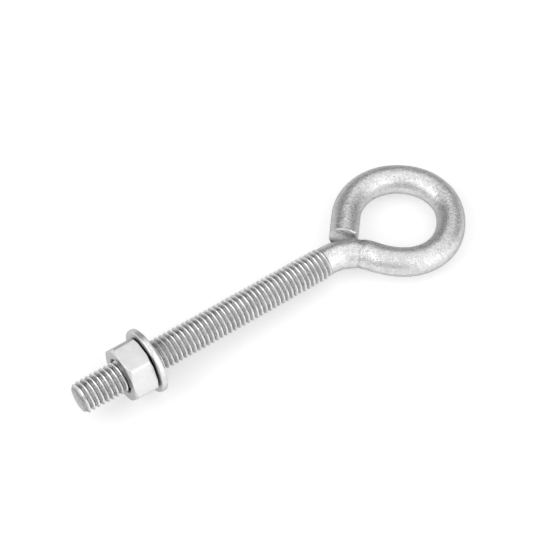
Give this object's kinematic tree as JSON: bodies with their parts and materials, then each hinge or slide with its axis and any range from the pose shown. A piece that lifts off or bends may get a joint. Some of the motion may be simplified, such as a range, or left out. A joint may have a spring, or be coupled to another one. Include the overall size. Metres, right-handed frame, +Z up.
{
  "type": "eye bolt",
  "caption": "Turned eye bolt: a steel rod bent into an open eye, with a fully threaded shank, a hex nut and a flat washer.",
  "frame": {"origin": "middle of the base of the bounding box, on the floor the bolt lies on", "axes": "+X runs from the bolt's tip towards its eye, +Z is up from the floor; the shank slopes down towards the eye by 2.76 degrees, because it rests on the washer's rim and the far side of the eye"},
  "size_m": [0.1078, 0.0329, 0.016],
  "materials": {
    "bolt_steel": "zinc-coated rolled steel, satin with dark mottling",
    "nut_steel": "bright zinc plate, smooth satin",
    "washer_steel": "zinc plate, satin"
  },
  "bodies": {
    "bolt": {"eye_bolt": "bolt_steel"},
    "washer": {"flat_washer": "washer_steel"},
    "nut": {"hex_nut": "nut_steel"}
  },
  "joints": [
    {"name": "washer_slide", "type": "slide", "parent": "bolt", "child": "washer", "axis": [0.9988, 0, -0.0482], "range_m": [-0.01063, 0.04813]},
    {"name": "nut_spin", "type": "hinge", "parent": "washer", "child": "nut", "pos_m": [-0.0395, 0, 0.00787], "axis": [0.9988, 0, -0.0482], "range_deg": [-3062, 13862]}
  ],
  "couplings": [
    {"joint": "nut_spin", "follows": "washer_slide", "rad_per_m": 5026.5}
  ]
}
